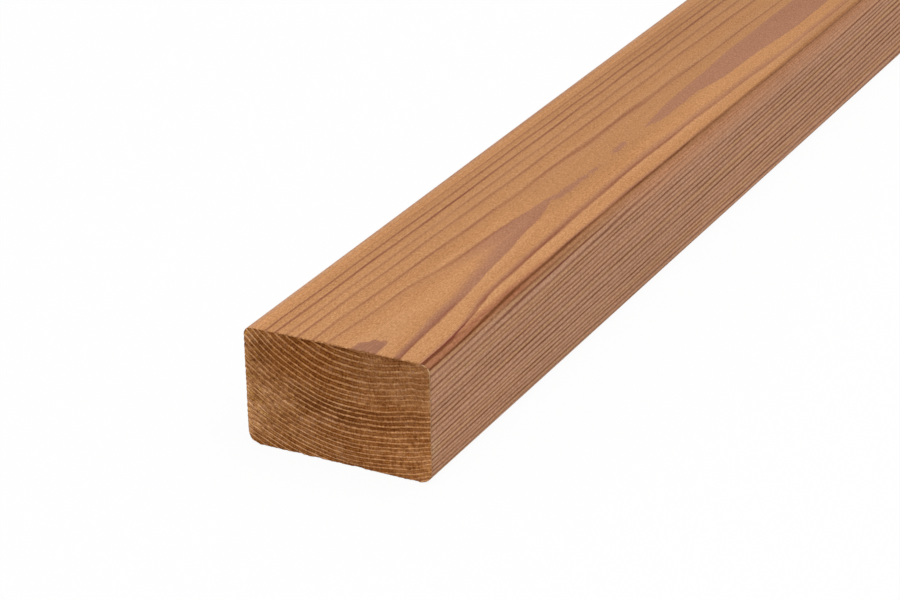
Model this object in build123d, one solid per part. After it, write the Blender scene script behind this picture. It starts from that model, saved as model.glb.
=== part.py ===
from build123d import *
import os

# Planed timber plank of heat-treated softwood: one sawn and planed stick with four
# rounded long arrises and two square saw-cut ends. Millimetres. X runs along the grain,
# Y across the wide face, Z up through the thickness, and the origin is the centre of the
# bottom face, on which the plank lies.

# Driving dimensions
length = 1800.0
width = 68.0
thickness = 42.0
# The planer's corner cutters take a little more off the arrises of the bottom face.
top_arris_radius = 3.0
bottom_arris_radius = 4.5


def planed_section():
    """Finished outline across the grain, standing on the bottom face."""
    blank = Rectangle(width, thickness, align=(Align.CENTER, Align.MIN))
    bottom_corners = blank.vertices().group_by(Axis.Y)[0]
    rounded_below = fillet(bottom_corners, bottom_arris_radius)
    top_corners = rounded_below.vertices().group_by(Axis.Y)[-1]
    return fillet(top_corners, top_arris_radius)


def plank():
    """The section carried along the grain, half the length each side of the origin."""
    across_the_grain = Plane(origin=(0, 0, 0), x_dir=(0, 1, 0), z_dir=(1, 0, 0))
    return extrude(across_the_grain * planed_section(), amount=length / 2, both=True)


os.makedirs("parts", exist_ok=True)
export_step(plank(), "parts/plank.step")
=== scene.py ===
import math
from functools import reduce
from operator import mul
import bpy
import numpy as np
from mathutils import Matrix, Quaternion, Vector


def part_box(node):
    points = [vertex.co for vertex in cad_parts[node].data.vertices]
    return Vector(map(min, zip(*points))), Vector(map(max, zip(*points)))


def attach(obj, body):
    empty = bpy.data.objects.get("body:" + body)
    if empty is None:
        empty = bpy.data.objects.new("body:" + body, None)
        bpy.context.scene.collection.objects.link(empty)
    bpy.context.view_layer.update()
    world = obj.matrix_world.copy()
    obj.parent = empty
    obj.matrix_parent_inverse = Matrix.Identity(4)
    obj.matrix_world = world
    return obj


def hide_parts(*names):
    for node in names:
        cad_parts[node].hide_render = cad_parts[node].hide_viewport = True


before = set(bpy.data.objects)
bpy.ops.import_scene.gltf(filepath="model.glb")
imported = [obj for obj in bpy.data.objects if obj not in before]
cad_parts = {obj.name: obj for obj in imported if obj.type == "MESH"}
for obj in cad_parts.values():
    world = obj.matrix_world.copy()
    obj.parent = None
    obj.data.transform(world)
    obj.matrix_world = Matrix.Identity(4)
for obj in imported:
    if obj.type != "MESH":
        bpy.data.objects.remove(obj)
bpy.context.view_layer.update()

# Timber plank of heat-treated pine: one sawn and planed stick lying flat on a pale floor.
# Sizes in the dictionaries are millimetres unless a note says otherwise.
scene = bpy.context.scene
mm = 0.001
lowCorner, highCorner = (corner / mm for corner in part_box("plank"))
plankLength, plankWidth, plankHeight = highCorner - lowCorner


# Wraps one output socket, so that an expression on it adds Math nodes.
class Wire:
    def __init__(self, bench, socket):
        self.bench, self.socket = bench, socket

    def math(self, operation, *others, clamp=False):
        return self.bench.node("ShaderNodeMath", {"operation": operation, "use_clamp": clamp},
                               {i: value for i, value in enumerate((self,) + others)})

    def __add__(self, other): return self.math("ADD", other)
    def __radd__(self, other): return self.math("ADD", other)
    def __sub__(self, other): return self.math("SUBTRACT", other)
    def __mul__(self, other): return self.math("MULTIPLY", other)
    def __rmul__(self, other): return self.math("MULTIPLY", other)
    def __truediv__(self, other): return self.math("DIVIDE", other)

    def __rsub__(self, other):
        return self.bench.node("ShaderNodeMath", {"operation": "SUBTRACT"}, {0: other, 1: self})

    def clamped(self):
        return self.math("ADD", 0.0, clamp=True)


# Adds nodes to one tree: the type, its settings first, then its sockets' values or links.
class Bench:
    def __init__(self, tree):
        self.tree = tree
        tree.nodes.clear()

    def node(self, kind, settings=None, sockets=None, output=0):
        made = self.tree.nodes.new(kind)
        for name, value in (settings or {}).items():
            if name == "curve":
                self.setCurve(made.mapping, value)
            else:
                setattr(made, name, value)
        for name, value in (sockets or {}).items():
            if isinstance(value, Wire):
                self.tree.links.new(value.socket, made.inputs[name])
            else:
                made.inputs[name].default_value = value
        return Wire(self, made.outputs[output]) if len(made.outputs) else None

    def setCurve(self, mapping, points):
        curve = mapping.curves[0]
        for position, value in points[2:]:
            curve.points.new(position, value)
        for point, place in zip(curve.points, points):
            point.location, point.handle_type = place, "VECTOR"
        mapping.update()

    def mix(self, factor, first, second, blend="MIX"):
        def colour(value):
            return value if isinstance(value, Wire) else (*value, 1.0)
        return self.node("ShaderNodeMix", {"data_type": "RGBA", "blend_type": blend},
                         {0: factor, 6: colour(first), 7: colour(second)}, output=2)

    def tinted(self, colour, tint):
        return self.mix(1.0, colour, tint, "MULTIPLY")

    # colour * (s, s^green, s^blue): brown wood loses its blue fastest as it darkens
    def shaded(self, colour, shade, green=1.3, blue=1.65):
        greener, bluer = shade.math("POWER", green), shade.math("POWER", blue)
        return self.tinted(colour, self.vector(shade, greener, bluer))

    def vector(self, a, b, c):
        return self.node("ShaderNodeCombineXYZ", None, {0: a, 1: b, 2: c})

    # soft random value from 0 to 1 at a place given in units of one blob
    def noise(self, place, detail, rough):
        return self.node("ShaderNodeTexNoise", {"noise_dimensions": "3D"},
                         {"Vector": place, "Scale": 1.0, "Detail": detail, "Roughness": rough})


# The same laws serve the mesh, on arrays, and the material, on sockets.
def sine(value):
    return value.math("SINE") if isinstance(value, Wire) else np.sin(value)


def root(value):
    return value.math("SQRT") if isinstance(value, Wire) else np.sqrt(value)


# 0 below low, 1 above high, and 3t^2 - 2t^3 between them
def ease(low, high, value):
    if isinstance(value, Wire):
        return value.bench.node("ShaderNodeMapRange", {"interpolation_type": "SMOOTHSTEP"},
                                {"Value": value, "From Min": low, "From Max": high})
    t = np.clip((value - low) / (high - low), 0.0, 1.0)
    return t * t * (3.0 - 2.0 * t)


# the other way round: 1 below low, 0 above high
def fade(low, high, value):
    return 1.0 - ease(low, high, value)


# A part of the plank, as a product of eases. It comes in between the two places after In and goes
# out between those after Out: x from the near end, u from the left edge, d down from the top face.
def within(part, x, u, d):
    place = {"x": x, "u": u, "d": d}
    return reduce(mul, [(ease if side.endswith("In") else fade)(low, high, place[side[0]])
                        for side, (low, high) in part.items()])


# The tree that the plank was sawn from.
tree = {
    "pithAcross": 44.0,      # the heart lies outside the plank, this far from its left edge
    "pithAbove": 40.0,       # and this far above its top face, at the near end
    "longSweep": 500.0,      # the stem's slow bend, as the length of one radian
    "shortSweep": 115.0,     # and its quicker wave
    "rise": (4.06, 1.23, 0.79),   # how far the two waves lift the heart, and the second's dip
    "swing": (1.88, 6.24, 0.65),  # how far they carry it sideways
    # with the same two waves the rings also lean, dish and skew, over this reach from the heart
    "reach": 24.0,
    "lean": -2.87,
    "dish": -0.60,
    "skew": -0.17,
    "rippleLength": 70.0,
    "waver": (0.065, 0.030),      # fine waves that every ring has
    # How far the rings are lifted towards the top face, or sunk where it is below zero, and in which
    # part of the plank.
    "bends": {
        # they rise towards the right edge, and step there where a branch once pushed them
        "lift": (1.58, {"uIn": (28.0, 61.0), "dIn": (-2.0, 14.0)}),
        "kink": (-1.31, {"uIn": (60.0, 68.0), "dIn": (-0.5, 8.0)}),
        "kinkDeep": (3.43, {"uIn": (60.0, 68.0)}),
        # on that edge they lie a little deeper, most of all further on and low down
        "settle": (-0.40, {"uIn": (60.0, 68.0), "dIn": (1.5, 5.0)}),
        "settleHigh": (-0.32, {"uIn": (60.0, 68.0), "dIn": (1.5, 5.0), "dOut": (12.0, 20.0)}),
        "settleLow": (-0.40, {"uIn": (60.0, 68.0), "dIn": (28.0, 34.0), "xOut": (10.0, 60.0)}),
        # and climb along the plank
        "drift": (11.55, {"uIn": (20.0, 68.0), "dIn": (-0.5, 4.0)}),
        # a small swirl at the near right corner
        "swirl": (-1.15, {"uIn": (57.0, 62.0), "xOut": (20.0, 66.0), "dOut": (0.0, 8.0)}),
        # the left-hand ones spread a little further along, and waver
        "bulge": (14.84, {"uIn": (12.0, 34.0), "uOut": (34.0, 44.0)}),
        "hollow": (-1.87, {"uIn": (10.0, 28.0), "uOut": (28.0, 42.0)}),
        "ripple": (0.40, {"uIn": (20.0, 33.0), "uOut": (36.0, 44.0), "dOut": (4.0, 14.0)}),
        "rippleTurned": (0.51, {"uIn": (20.0, 33.0), "uOut": (36.0, 44.0), "dOut": (4.0, 14.0)}),
        # the right-hand ones sink slowly
        "ebb": (-0.23, {"xIn": (220.0, 350.0), "uIn": (52.0, 64.0), "dOut": (0.0, 8.0)}),
        # one ring sinks into the top face as deep as the list below says, and one at its near end
        "graze": (-1.0, {"uIn": (42.5, 45.3), "uOut": (46.7, 49.5), "dOut": (4.0, 10.0)}),
        "patch": (-0.30, {"xOut": (6.0, 11.0), "uIn": (38.0, 41.0), "uOut": (47.0, 49.5),
                          "dOut": (1.0, 4.0)}),
    },
    "driftDepth": 36.5,      # the drift turns round at this depth
    "grazes": [(140.0, 170.0, 0.19), (186.0, 190.0, 0.12), (211.0, 224.0, 0.17)],  # from, to, depth
    "grazeFade": (7.0, 8.0),      # how far each graze fades in before and out after
    "rounder": (600.0, 1300.0),   # towards the far end the stem is rounder, without bends
    "firstRing": 36.4,       # radius of the first ring that the plank holds
    # ring widths from the heart outwards
    "widths": [1.90, 1.93, 1.92, 1.98, 2.65, 2.12, 2.42, 2.38, 2.11, 1.49, 1.91, 2.11, 1.52, 1.80,
               1.88, 1.87, 2.16, 1.82, 1.67, 1.25, 1.68, 1.59, 1.58, 1.19, 1.73, 1.74, 1.60, 1.50,
               1.70, 1.40, 1.60, 1.70, 1.50, 1.60],
    # how dark the line at each ring's edge is on a planed face
    "darkness": [0.60, 0.60, 0.06, 0.36, 0.42, 0.40, 0.28, 0.66, 0.50, 0.36, 0.36, 0.82, 0.70, 0.78,
                 0.72, 0.78, 0.80, 0.74, 0.84, 0.56, 0.80, 0.78, 0.82, 0.56, 0.75, 0.82, 0.95, 0.66,
                 0.84, 0.80, 0.70, 0.90, 0.80, 0.80, 0.80],
    # and what part of the ring inside it is pinkish latewood
    "lateShare": [0.45, 0.50, 0.40, 0.36, 0.30, 0.28, 0.28, 0.28, 0.30, 0.40, 0.46, 0.44, 0.44, 0.44,
                  0.45, 0.48, 0.44, 0.44, 0.44, 0.44, 0.46, 0.44, 0.42, 0.44, 0.44, 0.44, 0.44, 0.44,
                  0.44, 0.42, 0.44, 0.44, 0.44, 0.44],
}
ringEdges = tree["firstRing"] + np.concatenate([[0.0], np.cumsum(tree["widths"])])
ringCount = len(tree["widths"])


# Distance from the heart: sqrt((u - side)^2 + (d + above)^2), where side and above follow two slow
# sines of x, plus the bends, which are eases of x, u and d times powers of the same sines, plus two
# fine sines of all three.
def ringRadius(x, u, d):
    def bend(name, x=x):
        amount, part = tree["bends"][name]
        return amount * within(part, x, u, d)

    slow, quick = sine(x / tree["longSweep"]), sine(x / tree["shortSweep"])
    turned = 1.0 - sine(x / tree["shortSweep"] + math.pi / 2)
    rise, swing = tree["rise"], tree["swing"]
    above = tree["pithAbove"] + rise[0] * slow + rise[1] * quick - rise[2] * turned
    side = tree["pithAcross"] + swing[0] * slow - swing[1] * quick + swing[2] * turned
    fromHeart = root((u - side) * (u - side) + (d + above) * (d + above))

    across = (u - tree["pithAcross"]) / tree["reach"]
    deep, driftDeep = d / plankHeight, d / tree["driftDepth"]
    ripple = x / tree["rippleLength"]
    fadeIn, fadeOut = tree["grazeFade"]
    grazed = sum(depth * ease(start - fadeIn, start, x) * fade(end, end + fadeOut, x)
                 for start, end, depth in tree["grazes"])
    bent = (bend("lift") + bend("kink") + bend("kinkDeep") * deep * deep
            + bend("settle") + bend("settleHigh") * quick + bend("settleLow")
            + bend("drift") * slow * (1.0 - driftDeep * driftDeep)
            + tree["lean"] * quick * across + tree["dish"] * quick * across * across
            + tree["skew"] * slow * across * across * across
            + bend("swirl") + bend("ebb")
            + bend("bulge") * slow * slow * (1.0 - slow * slow) + bend("hollow") * slow
            + bend("ripple") * sine(ripple) + bend("rippleTurned") * (sine(ripple + math.pi / 2) - 1.0)
            + bend("graze") * grazed
            # the patch ends in a slanting, wavy edge
            + bend("patch", x + 0.35 * (46.0 - u) + 0.7 * sine(u * 1.7)))
    return (fromHeart + bent * fade(*tree["rounder"], x)
            + tree["waver"][0] * sine(x / 11.0 + u / 3.1 + 2.0 * sine(x / 37.0 + d / 8.0))
            + tree["waver"][1] * sine(x / 6.3 - u / 2.3 + d / 2.9))


# ring number that grows by one from ring edge to ring edge
def ringNumber(radius):
    if isinstance(radius, Wire):
        first, span = float(ringEdges[0]), float(ringEdges[-1] - ringEdges[0])
        points = [((edge - first) / span, i / ringCount) for i, edge in enumerate(ringEdges)]
        return floatCurve((radius - first) / span, points) * float(ringCount)
    return np.interp(radius, ringEdges, np.arange(ringCount + 1))


def floatCurve(value, points):
    return value.bench.node("ShaderNodeFloatCurve", {"curve": points}, {"Value": value})


# one number for each ring, read off a list by the ring's number
def perRing(ring, numbers):
    if isinstance(ring, Wire):
        points = [(i / ringCount, number) for i, number in enumerate(numbers)] + [(1.0, numbers[-1])]
        return floatCurve(ring / float(ringCount), points)
    return np.interp(ring, np.arange(len(numbers)), numbers)


# 1 for whole ring numbers up to last, from first on, or only one
def upTo(last, number):
    return fade(last + 0.4, last + 0.6, number)


def fromOn(first, number):
    return ease(first - 0.6, first - 0.4, number)


def only(one, number):
    return fromOn(one, number) * upTo(one, number)


# How far a point is into its ring's latewood, 0 to 1: (part of the ring - 1) / share + 1.
def intoLatewood(part, share):
    return (part - 1.0) / share + 1.0


def pinkWood(into):
    return ease(-0.15, 0.45, into)


# The dark line at a ring's edge: full at the edge, nothing at inner before it and outer past it.
def edgeLine(past, inner, outer):
    return ease(0.0 - inner, -0.02, past) * fade(0.02, outer, past)


plankShape = {
    "cellsAcross": 168,      # grid of an end face
    "cellsDeep": 104,
    "topArris": 3.0,
    "bottomArris": 4.5,
    "sawnCorner": 0.25,      # the saw breaks the end's corner by this much
    "cornerRag": 0.16,       # and leaves it ragged by this much
    "ragSize": 1.3,
    "chipDepth": 0.35,       # small chips out of the lower edge
    "chipSize": 5.0,
    "chipPlaces": (0.62, 0.9),    # uneven values from which there is a chip, and a whole one
    "chipReach": (2.2, 3.0), # how far they fade in over the end and along the sides
    "lowerBand": (1.0, 9.0), # they fade out between these heights over the lower edge
    "upperBand": (5.0, 1.0), # and in again between these depths under the top face
    "upperChips": 0.35,      # share of their depth at the upper edge
    "sideChips": 0.7,        # and on the sides
    "seeds": (11, 47),       # of the chips at the near end and at the far end
    "hardness": (0.4, 0.6),  # of latewood, and how much more in the dark line
    "hardLine": (0.4, 0.3),  # that line's reach before and past the ring's edge, in parts of a ring
    "raisedGrain": 0.05,     # soft earlywood lies this far under hard latewood when planed
    "endRelief": 0.11,       # and this far when sawn across
    "reliefRim": 0.8,        # fading in from the edge over this width
    "endPitting": 0.05,
    "pitSize": 0.9,
    "visibleStep": 8.0,      # spacing of the rings of points along the near part
    "farStep": 26.0,
    "visiblePart": 430.0,
    # distances from the near and the far end at which the rings of points lie close together
    "nearSteps": [0.5, 1.0, 2.0, 4.0],
    "farSteps": [12.0, 4.0, 2.0, 1.0, 0.5],
    "farGap": 30.0,          # the even ones stop at this distance from the far end
}


# One side of the outline, from the middle of one corner's arc to the middle of the next:
# centre + radius * (cos a, sin a), evenly spaced along it.
def outlineSide(centreA, centreB, radiusA, radiusB, facing, cells):
    arcA, arcB = radiusA * math.pi / 4, radiusB * math.pi / 4
    straight = np.linalg.norm(np.subtract(centreB, centreA) + (radiusB - radiusA) * np.array(facing))
    s = np.linspace(0.0, arcA + straight + arcB, cells + 1)
    middle = np.clip((s - arcA) / straight, 0.0, 1.0)[:, None]
    eighth = math.pi / 4
    angle = (math.atan2(facing[1], facing[0]) - eighth + eighth * np.clip(s / arcA, 0.0, 1.0)
             + eighth * np.clip((s - arcA - straight) / arcB, 0.0, 1.0))
    centre = np.array(centreA) * (1.0 - middle) + np.array(centreB) * middle
    radius = radiusA * (1.0 - middle) + radiusB * middle
    return centre + radius * np.stack([np.cos(angle), np.sin(angle)], 1)


# The section as a grid of (y, z): a Coons patch, which is the sum of the two ruled patches
# between opposite sides less the bilinear patch of the four corners.
def sectionGrid(shape):
    halfWidth, top, low = plankWidth / 2, shape["topArris"], shape["bottomArris"]
    rightLow, rightTop = (halfWidth - low, low), (halfWidth - top, plankHeight - top)
    leftTop, leftLow = (-rightTop[0], rightTop[1]), (-rightLow[0], low)
    across, deep = shape["cellsAcross"], shape["cellsDeep"]
    bottom = outlineSide(leftLow, rightLow, low, low, (0.0, -1.0), across)
    right = outlineSide(rightLow, rightTop, low, top, (1.0, 0.0), deep)
    upper = outlineSide(rightTop, leftTop, top, top, (0.0, 1.0), across)[::-1]
    left = outlineSide(leftTop, leftLow, top, low, (-1.0, 0.0), deep)[::-1]
    s = np.linspace(0.0, 1.0, across + 1)[:, None, None]
    t = np.linspace(0.0, 1.0, deep + 1)[None, :, None]
    ruled = (1 - t) * bottom[:, None] + t * upper[:, None] + (1 - s) * left[None] + s * right[None]
    corners = ((1 - s) * (1 - t) * bottom[0] + s * (1 - t) * bottom[-1]
               + (1 - s) * t * upper[0] + s * t * upper[-1])
    return ruled - corners


# Uneven value from 0 to 1 over the section: a seeded sum of sines in y and z.
def uneven(y, z, size, seed):
    random = np.random.default_rng(seed)
    total = np.zeros(np.shape(y))
    for turn, phase, stretch in random.uniform(0.0, 1.0, (7, 3)):
        angle, pitch = 2 * math.pi * turn, size * (0.55 + stretch)
        total = total + np.sin((y * math.cos(angle) + z * math.sin(angle)) / pitch * 2 * math.pi
                               + 2 * math.pi * phase)
    return np.clip(0.5 + total / 7.0, 0.0, 1.0)


# How soft the wood is at a point: 1 in earlywood, less by the two hardnesses in dense latewood.
def softness(x, y, z):
    ring = ringNumber(ringRadius(x, plankWidth / 2 - y, plankHeight - z))
    whole, nearest = np.floor(ring), np.floor(ring + 0.5)
    into = intoLatewood(ring - whole, perRing(whole, tree["lateShare"]))
    late, dense = plankShape["hardness"]
    return 1.0 - late * pinkWood(into) - dense * edgeLine(ring - nearest, *plankShape["hardLine"])


# Stations along the grain, close together at both sawn ends.
def stations(shape):
    nearPart = np.arange(0.0, shape["visiblePart"], shape["visibleStep"])[1:]
    farPart = np.linspace(shape["visiblePart"], plankLength - shape["farGap"],
                          int((plankLength - shape["visiblePart"]) / shape["farStep"]))
    farEnd = plankLength - np.array(shape["farSteps"])
    return np.concatenate([shape["nearSteps"], nearPart, farPart, farEnd])


# The plank: an end grid, rings of the same outline carried along the grain, and the other end
# grid. Soft wood is sunk under the planed surface by raisedGrain, chips fade inwards from the
# end's edge as (1 - distance / reach)^2, and nothing stands outside the sawn box.
def plankMesh(shape):
    grid = sectionGrid(shape)
    across, deep = shape["cellsAcross"], shape["cellsDeep"]
    number = np.arange((across + 1) * (deep + 1)).reshape(across + 1, deep + 1)
    rim = np.concatenate([number[:-1, 0], number[-1, :-1],
                          number[::-1, -1][:-1], number[0, ::-1][:-1]])
    flat = grid.reshape(-1, 2)
    outline = flat[rim]
    count = len(rim)
    ahead, behind = np.roll(outline, -1, 0), np.roll(outline, 1, 0)
    run = ahead - behind
    outward = np.stack([run[:, 1], -run[:, 0]], 1) / np.linalg.norm(run, axis=1)[:, None]

    def chips(y, z, seed, away, reach):
        deeper, shallower = shape["upperBand"]
        lower = fade(*shape["lowerBand"], z)
        upper = shape["upperChips"] * ease(plankHeight - deeper, plankHeight - shallower, z)
        places = ease(*shape["chipPlaces"], uneven(y, z, shape["chipSize"], seed))
        return (shape["chipDepth"] * np.maximum(lower, upper) * places
                * np.clip(1.0 - away / reach, 0.0, 1.0) ** 2)

    def endGrid(x, seed):
        y, z = flat.T
        toEdge = np.minimum(plankWidth / 2 - np.abs(y), np.minimum(z, plankHeight - z))
        sunk = (shape["endRelief"] * softness(x, y, z) * ease(0.0, shape["reliefRim"], toEdge)
                + shape["endPitting"] * uneven(y, z, shape["pitSize"], seed + 1)
                + chips(y, z, seed, toEdge, shape["chipReach"][0]))
        rag = (uneven(*outline.T, shape["ragSize"], seed + 2) - 0.5) * 2.0
        broken = shape["sawnCorner"] + shape["cornerRag"] * rag
        points = flat.copy()
        points[rim] -= outward * broken[:, None]
        return points, sunk, broken

    def strip(x, fromEnd, seed):
        y, z = outline.T
        sunk = (shape["raisedGrain"] * softness(x, y, z)
                + shape["sideChips"] * chips(y, z, seed, fromEnd, shape["chipReach"][1]))
        return outline - outward * sunk[:, None]

    nearSeed, farSeed = shape["seeds"]
    nearPoints, nearSunk, nearBroken = endGrid(0.0, nearSeed)
    farPoints, farSunk, farBroken = endGrid(plankLength, farSeed)
    rings = [np.column_stack([nearBroken, strip(0.0, nearBroken, nearSeed)])]
    for x in stations(shape):
        seed = nearSeed if x < plankLength / 2 else farSeed
        rings.append(np.column_stack([np.full(count, x), strip(x, min(x, plankLength - x), seed)]))
    rings.append(np.column_stack([plankLength - farBroken, strip(plankLength, farBroken, farSeed)]))

    points = np.concatenate([np.column_stack([nearSunk, nearPoints])] + rings
                            + [np.column_stack([plankLength - farSunk, farPoints])])
    points[:, 0] += lowCorner.x
    ends = np.ones(len(points), np.float32)
    ends[len(flat):-len(flat)] = 0.0

    cell = np.stack([number[:-1, :-1], number[:-1, 1:], number[1:, 1:], number[1:, :-1]], -1)
    cell = cell.reshape(-1, 4)
    lastGrid = len(points) - len(flat)
    between = len(flat) + count * np.arange(len(rings))[:, None] + np.arange(count)
    loops = np.vstack([rim, between, rim + lastGrid])
    first, second = loops[:-1], loops[1:]
    skin = np.stack([first, np.roll(first, -1, 1), np.roll(second, -1, 1), second], -1).reshape(-1, 4)
    faces = np.concatenate([cell, skin, cell[:, ::-1] + lastGrid])
    return points, faces, ends


# Puts points, four-cornered faces and one value for each point into a mesh object.
def meshObject(name, points, faces, valueName, values, material):
    mesh = bpy.data.meshes.new(name)
    mesh.vertices.add(len(points))
    mesh.vertices.foreach_set("co", np.ascontiguousarray(points * mm, np.float32).ravel())
    mesh.loops.add(faces.size)
    mesh.loops.foreach_set("vertex_index", faces.astype(np.int32).ravel())
    mesh.polygons.add(len(faces))
    mesh.polygons.foreach_set("loop_start", np.arange(0, faces.size, 4, dtype=np.int32))
    mesh.attributes.new(valueName, "FLOAT", "POINT").data.foreach_set("value", values)
    mesh.update(calc_edges=True)
    mesh.validate()
    mesh.polygons.foreach_set("use_smooth", np.ones(len(faces), bool))
    mesh.materials.append(material)
    piece = bpy.data.objects.new(name, mesh)
    scene.collection.objects.link(piece)
    return piece


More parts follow.
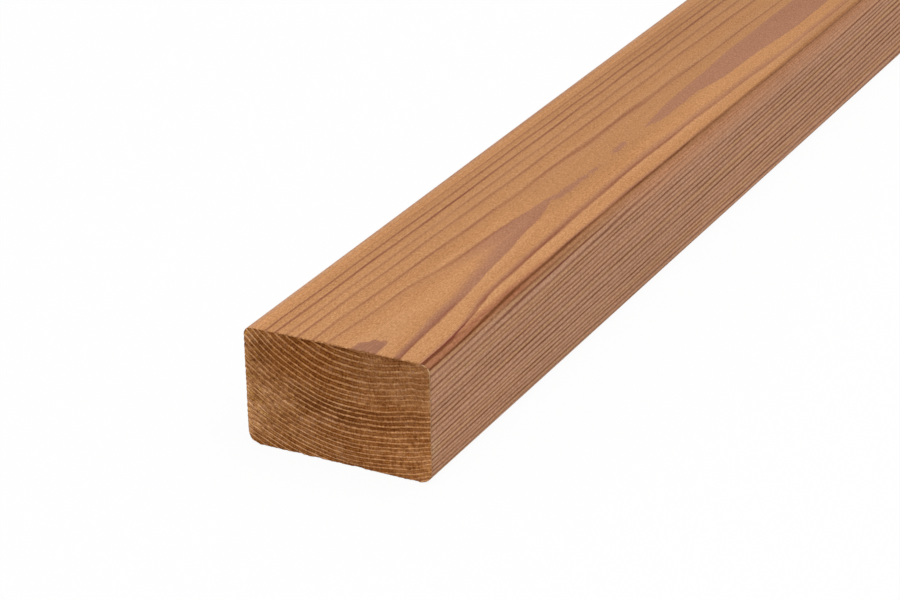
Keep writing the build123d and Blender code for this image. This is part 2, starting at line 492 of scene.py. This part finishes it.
woodLook = {
    # planed faces, linear colours
    "earlywood": (0.579, 0.274, 0.113),      # golden tan
    "earlywoodPale": (0.641, 0.327, 0.151),  # just after a ring's edge
    "pinkWood": (0.416, 0.189, 0.109),       # latewood
    "denseWood": (0.190, 0.061, 0.019),      # the dark line at the ring's edge
    "denseTop": (0.203, 0.040, 0.025),       # which is redder on the wide face
    "narrowSheen": (0.543, 0.294, 0.178),     # the narrow faces are greyer, a painted sheen of the white surroundings, and pinker
    "goldenFace": (0.562, 0.310, 0.149),     # but for some streaks
    "tornRed": (0.405, 0.156, 0.078),        # torn fibres at the near right corner
    "frayed": (0.210, 0.080, 0.020),         # fibres bent over the sawn end's edge
    "paleAndHighlight": (0.640, 0.420, 0.240),           # and the painted highlight along its broken corners, also the golden spot's colour
    "warmTint": (1.06, 0.985, 0.91),         # lighter, warmer band high on the narrow face
    # sawn ends
    "endDark": (0.150, 0.039, 0.004),        # open pores beside each line look dark
    "endMiddle": (0.282, 0.095, 0.021),
    "endLine": (0.545, 0.254, 0.105),        # dense latewood stays pale there
    "endTorn": (0.400, 0.168, 0.061),        # where the saw tore the pores shut
    "endGold": (0.560, 0.280, 0.050),        # specks of resin
    "endGrey": (0.320, 0.190, 0.130),        # and of dust
    "endRed": (0.230, 0.062, 0.008),
    "ripeTint": (1.02, 0.95, 0.84),          # the end's upper left and lower right parts
    "roughness": 0.62,
    "gloss": 0.04,
    "bump": 0.35,
    "bumpDepth": 0.0002,                     # metres
    # noises of the grain: length along it, width across it, shift, detail
    "noises": {
        "fibres": (30.0, 0.5, 0.0, 3.0),
        "hairs": (1.4, 0.35, 5.0, 2.0),
        "tremor": (4.0, 0.8, 3.0, 3.0),      # makes the ring edges uneven
        "stretches": (38.0, 1.3, 17.0, 2.0),  # along which a dark line is stronger or weaker
        "streaks": (300.0, 3.0, 29.0, 2.0),
        "patches": (120.0, 12.0, 9.0, 2.0),
        "pores": (3.0, 0.32, 51.0, 1.0),
        "chatter": (0.6, 8.0, 61.0, 2.0),    # the planer's marks
        "splinters": (2.6, 0.8, 71.0, 2.0),
        "shreds": (9.0, 1.2, 83.0, 2.0),
        "fray": (3.0, 1.1, 0.0, 3.0),
    },
    # on the sawn ends, along a ring and through it: length, width, shift, detail
    "ringNoises": {
        "rays": (0.8, 2.4, 0.0, 2.0),
        "dashes": (2.2, 0.55, 4.0, 3.0),
        "waves": (6.0, 1.6, 8.0, 2.0),
        "threads": (4.0, 0.8, 31.0, 3.0),
    },
    # and without direction: width, height, shift, roughness
    "specks": {
        "dust": (0.5, 0.5, 3.0, 0.7),
        "gold": (1.5, 0.9, 23.0, 0.7),
        "red": (2.4, 1.6, 41.0, 0.7),
        "blotches": (9.0, 5.0, 9.0, 0.5),
    },
    # how much each noise lightens a planed face, and a sawn end
    "mottle": {"fibres": 0.34, "hairs": 1.20, "patches": 0.26, "chatter": 0.22},
    "endMottle": {"rays": 0.9, "dust": 1.1, "dashes": 1.1, "blotches": 0.5},
    # how much duller some zones are
    "duller": {"leftThird": 0.13, "farther": 0.08, "fartherRight": 0.13, "leftRim": -0.13},
    # Parts of the planed faces, read as within() does. The tongue is the long pointed figure on the
    # top face, which the innermost ring draws there.
    "zones": {
        "narrowRight": {"uIn": (64.8, 67.6)},
        "narrowLeft": {"uOut": (1.6, 4.4)},
        "onTop": {"dOut": (1.0, 6.0)},
        "middle": {"uIn": (10.0, 44.0), "dOut": (1.0, 6.0)},
        "right": {"uIn": (44.0, 52.0), "dOut": (1.0, 6.0)},
        "arris": {"uIn": (64.5, 65.6), "dOut": (1.0, 3.2)},       # the upper right one
        "leftRim": {"uOut": (5.0, 8.0), "dOut": (0.5, 3.0)},
        "corner": {"uIn": (61.5, 64.0), "dOut": (1.0, 6.0), "xOut": (28.0, 42.0)},
        "cornerEnd": {"xOut": (45.0, 75.0)},
        "tornCorner": {"uIn": (62.8, 64.4), "dOut": (1.0, 2.0), "xOut": (60.0, 115.0)},
        "pastPatch": {"xIn": (70.0, 130.0)},
        "rightOfHeart": {"uIn": (42.0, 46.0)},
        "alongHeart": {"xIn": (50.0, 110.0)},
        "tongueEdge": {"xIn": (36.0, 60.0), "uIn": (44.0, 52.0), "dOut": (1.0, 6.0)},
        "tongue": {"xIn": (90.0, 135.0), "uIn": (38.0, 40.5), "uOut": (53.5, 56.0), "dOut": (1.0, 6.0)},
        "tongueTip": {"xIn": (130.0, 150.0), "xOut": (195.0, 215.0), "uIn": (40.0, 44.0),
                      "uOut": (48.0, 52.0)},
        "besideTongue": {"xIn": (100.0, 150.0), "uIn": (29.0, 36.0), "uOut": (47.0, 52.0),
                         "dOut": (1.0, 6.0)},
        "thinnerLine": {"xIn": (130.0, 200.0)},
        "weakerLine": {"xIn": (170.0, 270.0)},
        "secondFigure": {"xIn": (190.0, 215.0), "xOut": (430.0, 640.0), "dOut": (1.0, 6.0)},
        "leftThird": {"uOut": (18.0, 38.0), "dOut": (1.0, 6.0), "xIn": (-40.0, 150.0)},
        "farther": {"xIn": (150.0, 380.0), "dOut": (1.0, 6.0)},
        "fartherRight": {"xIn": (285.0, 325.0), "uIn": (61.8, 63.2), "uOut": (64.6, 65.6)},
        "ontoArris": {"uIn": (64.0, 66.0)},
        "beforeFar": {"xOut": (480.0, 700.0)},
        "warmerBand": {"uIn": (66.5, 67.5), "dOut": (4.0, 9.0), "xIn": (122.0, 178.0)},
        "sideMiddle": {"dIn": (16.0, 23.0), "xIn": (40.0, 80.0), "xOut": (170.0, 240.0)},
        "lowest": {"dIn": (35.0, 41.0)},
        "goldSpot": {"xOut": (1.0, 8.0), "dIn": (25.0, 28.0), "dOut": (31.0, 35.0)},
        "frayedEdge": {"xOut": (0.2, 0.9), "uIn": (9.0, 14.0)},
        "lessFrayed": {"uIn": (60.0, 66.0)},
        # and of the sawn ends
        "rightHalf": {"uIn": (34.0, 50.0)},
        "rightEnd": {"uIn": (55.0, 66.0)},
        "faint": {"uIn": (38.0, 48.0), "dOut": (15.0, 24.0)},
        "rich": {"uIn": (20.0, 34.0), "dIn": (10.0, 20.0)},
        "upperLeft": {"uIn": (8.0, 12.0), "uOut": (30.0, 38.0), "dOut": (12.0, 18.0)},
        "lowerLeft": {"uIn": (5.0, 9.0), "uOut": (28.0, 38.0), "dIn": (33.0, 37.0)},
        "darkBand": {"uIn": (14.0, 24.0)},
        "fuzzy": {"uIn": (10.0, 20.0), "uOut": (58.0, 63.0)},
        "leftEdge": {"uOut": (0.6, 3.5)},
        "rightEdge": {"uIn": (65.5, 67.4)},
        # and of the broken edge between the two
        "highlightCorner": {"uIn": (64.0, 65.5), "dOut": (2.0, 5.0)},
        "highlightRight": {"uIn": (66.0, 67.5)},
        "highlightLeft": {"uOut": (0.5, 2.5)},
    },
}


# Reads the wood at one point: its place, the ring it lies in and the noises that follow the grain.
class WoodPoint:
    def __init__(self, bench):
        self.bench, self.zones = bench, {}
        place = bench.node("ShaderNodeTexCoord", None, None, "Object")
        split = [bench.node("ShaderNodeSeparateXYZ", None, {0: place}, output=i) for i in range(3)]
        self.x = split[0] / mm - float(lowCorner.x)
        self.u = float(highCorner.y) - split[1] / mm
        self.d = float(highCorner.z) - split[2] / mm
        self.sawn = bench.node("ShaderNodeAttribute", {"attribute_name": "endGrain"}, None, "Fac")
        self.narrow = self.zone("narrowRight") + self.zone("narrowLeft")
        self.fibres, self.hairs = self.noise("fibres"), self.noise("hairs")
        tremor = self.noise("tremor") * (0.22 + 0.20 * self.zone("tongueTip"))
        self.radius = ringRadius(self.x, self.u, self.d) + tremor
        self.ring = ringNumber(self.radius)
        self.whole = self.ring.math("FLOOR")
        self.part = self.ring - self.whole
        self.nearest = (self.ring + 0.5).math("FLOOR")
        self.past = self.ring - self.nearest

    # how far the point is inside a zone, made once for each
    def zone(self, name):
        if name not in self.zones:
            self.zones[name] = self.shiftedZone(name, self.x)
        return self.zones[name]

    # the same with x moved by a noise, for a ragged edge
    def shiftedZone(self, name, x):
        return within(woodLook["zones"][name], x, self.u, self.d)

    # noise about zero that is stretched along the grain
    def noise(self, name, rough=0.6):
        along, sideways, shift, detail = woodLook["noises"][name]
        place = self.bench.vector(self.x / along + shift, self.u / sideways, self.d / sideways)
        return self.bench.noise(place, detail, rough) - 0.5


# How pink a planed face is: in each ring's latewood, most of all on the right and near the heart.
def pinkLatewood(wood):
    heartRings = upTo(2, wood.whole)
    inHeart = wood.zone("rightOfHeart").math("MAXIMUM", wood.zone("alongHeart"))
    inHeart = inHeart.math("MAXIMUM", upTo(1, wood.whole))
    most = (0.15 + 0.40 * wood.zone("right")).math("MAXIMUM", heartRings * inHeart * 0.9)
    late = pinkWood(intoLatewood(wood.part, perRing(wood.whole, tree["lateShare"])))
    # the top face runs along inside the innermost ring's latewood there
    return late.math("MAXIMUM", heartRings * wood.zone("secondFigure")) * most


# How much of the dark line there is: its shape across the ring's edge, times how dark that ring's
# line is, times what is left of it and how much stronger it gets from place to place.
def darkLines(wood):
    nearest, narrow = wood.nearest, wood.narrow
    middle, right, arris = [wood.zone(name) for name in ("middle", "right", "arris")]
    corner, cornerEnd = wood.zone("corner"), wood.zone("cornerEnd")
    before = (0.24 - 0.10 * middle + 0.12 * narrow
              + (0.16 - 0.07 * wood.zone("thinnerLine")) * right * (1.0 - corner))
    after = 0.22 - 0.12 * middle + 0.14 * narrow + 0.20 * arris
    line = edgeLine(wood.past, before, after)

    # the first few lines fade out where they climb onto the upper right arris, one after the other
    firstFew = wood.zone("ontoArris") * upTo(10, nearest)
    climbing = (firstFew * fromOn(6, nearest) * wood.zone("beforeFar")
                * ease(60.0, 130.0, wood.x - (nearest - 6.0) * 35.0))
    tongueEdge = upTo(3, nearest) * wood.zone("tongueEdge")
    left = ((1.0 - climbing * (0.6 + 0.4 * arris)) * (1.0 - 0.85 * wood.zone("leftRim"))
            * (1.0 - wood.zone("tongue")) * (1.0 - tongueEdge)
            * (1.0 - 0.80 * arris * cornerEnd * fromOn(6, nearest)))

    onSide = firstFew * (1.0 - arris)
    strength = perRing(nearest, tree["darkness"]) * (1.0 - onSide) + onSide * 0.72
    boost = (1.0 + 0.30 * right * (1.0 - 2.8 * wood.zone("weakerLine")) + 0.45 * arris
             + 1.2 * corner * only(4, nearest) + 1.1 * arris * cornerEnd * only(5, nearest)
             - 0.40 * narrow * wood.zone("lowest"))
    return (line * strength * left * boost * (1.0 + wood.noise("stretches") * 2.0)).clamped()


# Planed faces: golden earlywood, pinkish latewood, the dark lines, then all that mottles them.
def planedWood(bench, wood, dark):
    look, zone = woodLook, wood.zone
    fibres, hairs, narrow, arris = wood.fibres, wood.hairs, wood.narrow, zone("arris")
    streaks = wood.noise("streaks")
    pores = ease(0.10, 0.26, wood.noise("pores"))
    splinters = ease(0.10, 0.20, wood.noise("splinters"))

    pink = pinkLatewood(wood)
    pale = fade(0.0, 0.5, wood.part) * (0.5 - 0.5 * upTo(3, wood.whole) * zone("pastPatch"))
    colour = bench.mix(pale, look["earlywood"], look["earlywoodPale"])
    golden = ease(-0.02, 0.10, streaks + 0.06 * narrow * zone("lowest")) * 0.6
    # painted sheen: the narrow faces take greyer colours than the top face
    colour = bench.mix(narrow * 0.9, colour, bench.mix(golden, look["narrowSheen"], look["goldenFace"]))
    colour = bench.mix(pink, colour, look["pinkWood"])
    # a golden spot low on the narrow face, right by the near end
    spot = narrow * wood.shiftedZone("goldSpot", wood.x + streaks * 8.0)
    colour = bench.mix(spot * 0.45, colour, look["paleAndHighlight"])
    # at the near right corner the rounding below the outermost line is torn and reddish
    torn = ease(4.03, 4.10, wood.ring) * zone("tornCorner") * (0.75 + 1.4 * wood.noise("shreds"))
    torn = torn.clamped()
    colour = bench.mix(torn, colour, look["tornRed"])
    line = bench.mix(zone("onTop") * (1.0 - arris), look["denseWood"], look["denseTop"])
    colour = bench.mix(dark, colour, line)
    # further on the upper part of the narrow face is lighter and warmer, and the painted shade of the
    # arris is weaker there
    warmer = zone("warmerBand")
    colour = bench.mix(warmer, colour, bench.tinted(colour, look["warmTint"]))

    # painted shade: the rounded upper right arris is made darker, less so where it is torn and in the
    # warmer band
    arrisShade = 1.0 - 0.30 * arris * (1.0 - 0.7 * torn) * (1.0 - 0.45 * warmer)
    much = look["mottle"]
    mottle = (1.0 + fibres * much["fibres"] + hairs * (much["hairs"] - 0.05 * narrow)
              + wood.noise("patches") * much["patches"] + wood.noise("chatter") * much["chatter"]
              - pores * 0.13)
    colour = bench.shaded(colour, arrisShade * mottle)
    # some parts are a shade duller, and the innermost ring is the darkest and full of splinters
    dull = (sum(amount * zone(name) for name, amount in look["duller"].items())
            + 0.05 * narrow * zone("sideMiddle") + 0.11 * zone("besideTongue") * (1.0 - pink)
            + (0.13 - splinters * 0.5 + hairs * 0.8 + fibres * 0.8) * fade(1.86, 1.98, wood.ring))
    colour = bench.shaded(colour, 1.0 - dull, 1.0, 0.9)
    # fibres bent over the sawn edge leave it ragged
    frayed = wood.shiftedZone("frayedEdge", wood.x + wood.noise("fray", 0.7) * 5.0)
    return bench.mix(frayed * (0.75 - 0.35 * zone("lessFrayed")), colour, look["frayed"])


# Sawn ends: pale thin lines on brown, darkest beside each line, all broken up by rays that run out
# from the heart and by the saw. Returns the colour and how rough the surface is.
def sawnWood(bench, wood):
    look, zone, x, u, d = woodLook, wood.zone, wood.x, wood.u, wood.d
    rightHalf, rightEnd, rich = zone("rightHalf"), zone("rightEnd"), zone("rich")
    # mm along a ring: the angle at the heart, times a middling radius
    arc = (u - tree["pithAcross"]).math("ARCTAN2", d + tree["pithAbove"]) * 60.0

    def ringNoise(name):
        along, through, shift, detail = look["ringNoises"][name]
        place = bench.vector(arc / along, wood.radius / through, x + shift)
        return bench.noise(place, detail, 0.6) - 0.5

    def speckNoise(name):
        wide, deep, shift, rough = look["specks"][name]
        return bench.noise(bench.vector(x + shift, u / wide, d / deep), 2.0, rough) - 0.5

    rays, dashes, waves, threads = [ringNoise(name) for name in ("rays", "dashes", "waves", "threads")]
    dust, goldSpecks, redSpecks = speckNoise("dust"), speckNoise("gold"), speckNoise("red")
    blotches = speckNoise("blotches")
    # differs from ring to ring, and slowly along each
    each = bench.noise(bench.vector(wood.nearest * 5.3, arc / 22.0, 2.0), 1.0, 0.5) - 0.5
    # the saw tore the left part, furthest in at half the plank's height
    torn = fade(4.0, 30.0, u + (d - 24.0) * (d - 24.0) * 0.07)

    wander = wood.past + dashes * 0.30 + waves * (0.22 + 0.45 * rightEnd) + torn * dashes * 0.9
    away = wander.math("ABSOLUTE")           # from the line's middle, in parts of a ring
    line = fade(0.04, 0.28, away + each * 0.16) * (
        1.0 - 0.15 * torn - 0.20 * zone("faint") - 0.06 * rightEnd - 0.14 * rightHalf
        + each * 1.5 + dust * 1.2 + waves * 1.2)
    shut = torn * 0.60 + zone("faint") * 0.15 + rightEnd * 0.15 + rightHalf * 0.28 + blotches * 0.9
    gold = ease(0.06, 0.24, goldSpecks) * 0.35 + ease(0.04, 0.20, threads) * 0.5 * torn
    grey = ease(0.06, 0.26, blotches * 0.5 - goldSpecks) * 0.30
    red = ease(0.02, 0.20, redSpecks) * (0.20 + 0.40 * rich)
    colour = bench.mix(ease(0.22, 0.5, away + rays * 0.4), look["endDark"], look["endMiddle"])
    colour = bench.mix(shut.clamped(), colour, look["endTorn"])
    colour = bench.mix(line.clamped(), colour, look["endLine"])
    colour = bench.mix(gold, colour, look["endGold"])
    colour = bench.mix(grey, colour, look["endGrey"])
    colour = bench.mix(red, colour, look["endRed"])

    # the end is paler along its left and right edges and towards its upper left corner, and along the
    # upper edge the fuzz with its painted shadow darkens it
    paleEdges = (0.30 * zone("leftEdge") + 0.14 * zone("rightEdge") + 0.30 * fade(8.0, 22.0, u + d * 3.0))
    fuzzAndShadow = fade(0.2, 1.3, d + dashes * 1.6) * zone("fuzzy")
    # a few rings half way down are darker between their lines
    band = ease(11.8, 12.8, wood.ring) * fade(15.4, 17.0, wood.ring) * zone("darkBand")
    # painted light: the end grows lighter towards its bottom, making up for the weaker light the lamps
    # give there
    tone = ((1.0 + 0.0085 * d + 0.13 * zone("lowerLeft")) * (1.0 + 0.05 * rightHalf) * (1.0 + paleEdges)
            * (1.0 - 0.30 * fuzzAndShadow) * (1.0 - 0.30 * band * ease(0.1, 0.3, away)))
    much = look["endMottle"]
    mottle = (1.0 + rays * much["rays"] + dust * much["dust"] + blotches * much["blotches"]
              + dashes * much["dashes"] * (1.0 + 1.8 * torn))
    colour = bench.shaded(colour, tone * mottle)
    ripe = rich * rightHalf + zone("upperLeft")
    return bench.mix(ripe * 0.8, colour, bench.tinted(colour, look["ripeTint"])), rays + dust


def heatTreatedPine():
    look = woodLook
    material = bpy.data.materials.new("heatTreatedPine")
    material.use_nodes = True
    bench = Bench(material.node_tree)
    wood = WoodPoint(bench)
    sawn, fibres = wood.sawn, wood.fibres
    dark = darkLines(wood)
    planed = planedWood(bench, wood, dark)
    crosscut, rough = sawnWood(bench, wood)
    # sawn goes from 0 to 1 over the broken edge, where a painted highlight lightens the corners
    paleAndHighlight = sawn * (1.0 - sawn) * 4.0 * (
        wood.zone("highlightCorner") + 0.35 * wood.zone("highlightRight") + 0.25 * wood.zone("highlightLeft"))
    colour = bench.mix(ease(0.35, 0.65, sawn), planed, crosscut)
    colour = bench.mix(paleAndHighlight.clamped(), colour, look["paleAndHighlight"])
    height = dark * 0.25 + fibres * 0.5 + wood.hairs * 0.6 + sawn * rough
    normal = bench.node("ShaderNodeBump", None,
                        {"Strength": look["bump"], "Distance": look["bumpDepth"], "Height": height})
    roughness = look["roughness"] + fibres * 0.2 - (1.0 - sawn) * dark * 0.08 + sawn * 0.2
    shader = bench.node("ShaderNodeBsdfPrincipled", None,
                        {"Base Color": colour, "Roughness": roughness, "Normal": normal,
                         "Specular IOR Level": look["gloss"]})
    bench.node("ShaderNodeOutputMaterial", None, {"Surface": shader})
    print("pine:", len(material.node_tree.nodes), "nodes")
    return material


pine = heatTreatedPine()
points, faces, ends = plankMesh(plankShape)
plank = meshObject("plankOfPine", points, faces, "endGrain", ends, pine)
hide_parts("plank")
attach(plank, "root")
print("plank:", len(points), "points,", 2 * len(faces), "triangles")


studio = {
    "floorSize": 12.0,       # metres
    "floorDrop": 0.0003,     # it lies this far under the plank
    "floorColour": (0.92, 0.92, 0.92, 1.0),
    "floorGlow": 0.95,       # share of plain white in what the camera sees of it
    "sky": 0.5,
    "keyPower": 31.0,        # watts
    "keySize": 2.0,          # metres
    "keyPlace": (-0.6, -0.5, 2.2),
    "keyAim": (-0.7, 0.0, 0.02),
}


# 1 for the rays that see plain white: the camera's, and those of gloss and glass
def plainRays(bench):
    names = ("Is Camera Ray", "Is Glossy Ray", "Is Transmission Ray")
    ofCamera, ofGloss, ofGlass = [bench.node("ShaderNodeLightPath", None, None, name) for name in names]
    return (ofCamera + ofGloss + ofGlass).clamped()


def paleFloor():
    half = studio["floorSize"] / 2
    level = lowCorner.z * mm - studio["floorDrop"]
    corners = [(-half, -half, level), (half, -half, level), (half, half, level), (-half, half, level)]
    mesh = bpy.data.meshes.new("floor")
    mesh.from_pydata(corners, [], [(0, 1, 2, 3)])
    floor = bpy.data.objects.new("floor", mesh)
    scene.collection.objects.link(floor)
    material = bpy.data.materials.new("paleFloor")
    material.use_nodes = True
    bench = Bench(material.node_tree)
    seen = plainRays(bench) * studio["floorGlow"]
    matt = bench.node("ShaderNodeBsdfDiffuse", None, {"Color": studio["floorColour"]})
    white = bench.node("ShaderNodeEmission", None, {"Color": (1, 1, 1, 1), "Strength": 1.0})
    both = bench.node("ShaderNodeMixShader", None, {0: seen, 1: matt, 2: white})
    bench.node("ShaderNodeOutputMaterial", None, {"Surface": both})
    mesh.materials.append(material)
    return floor


def studioLight():
    world = bpy.data.worlds.new("studio")
    scene.world = world
    world.use_nodes = True
    bench = Bench(world.node_tree)
    strength = plainRays(bench) * (1.0 - studio["sky"]) + studio["sky"]
    sky = bench.node("ShaderNodeBackground", None, {"Color": (1, 1, 1, 1), "Strength": strength})
    bench.node("ShaderNodeOutputWorld", None, {"Surface": sky})
    light = bpy.data.lights.new("key", "AREA")
    light.energy, light.size = studio["keyPower"], studio["keySize"]
    key = bpy.data.objects.new("key", light)
    key.location = studio["keyPlace"]
    aim = Vector(studio["keyAim"]) - key.location
    key.rotation_mode = "QUATERNION"
    key.rotation_quaternion = aim.to_track_quat("-Z", "Y")
    scene.collection.objects.link(key)


cameraSet = {
    "azimuth": -61.605,      # degrees round the plank, 0 looks along +Y
    "elevation": 24.999,
    "roll": -1.161,
    "place": (-1.6323, -0.4376, 0.4546),     # metres
    "lens": 119.94,          # mm, for a picture of 900 x 600 on this width of sensor
    "sensor": 36.0,
    "clip": (0.05, 50.0),    # metres
}


def photographCamera():
    azimuth, elevation = math.radians(cameraSet["azimuth"]), math.radians(cameraSet["elevation"])
    level = math.cos(elevation)
    forward = Vector((-math.sin(azimuth) * level, math.cos(azimuth) * level, -math.sin(elevation)))
    data = bpy.data.cameras.new("camera")
    data.lens, data.sensor_width = cameraSet["lens"], cameraSet["sensor"]
    data.clip_start, data.clip_end = cameraSet["clip"]
    camera = bpy.data.objects.new("camera", data)
    camera.location = cameraSet["place"]
    camera.rotation_mode = "QUATERNION"
    turn = Quaternion(forward, math.radians(-cameraSet["roll"]))
    camera.rotation_quaternion = turn @ forward.to_track_quat("-Z", "Y")
    scene.collection.objects.link(camera)
    scene.camera = camera
    return camera


floor = paleFloor()
print("floor:", studio["floorSize"], "m square")
studioLight()
print("light: key of", studio["keyPower"], "W")
camera = photographCamera()
scene.view_settings.view_transform = "Standard"
bpy.context.view_layer.update()
sideways = camera.matrix_world.to_3x3() @ Vector((1, 0, 0))
print("camera: picture's right is along", [round(v, 4) for v in sideways])
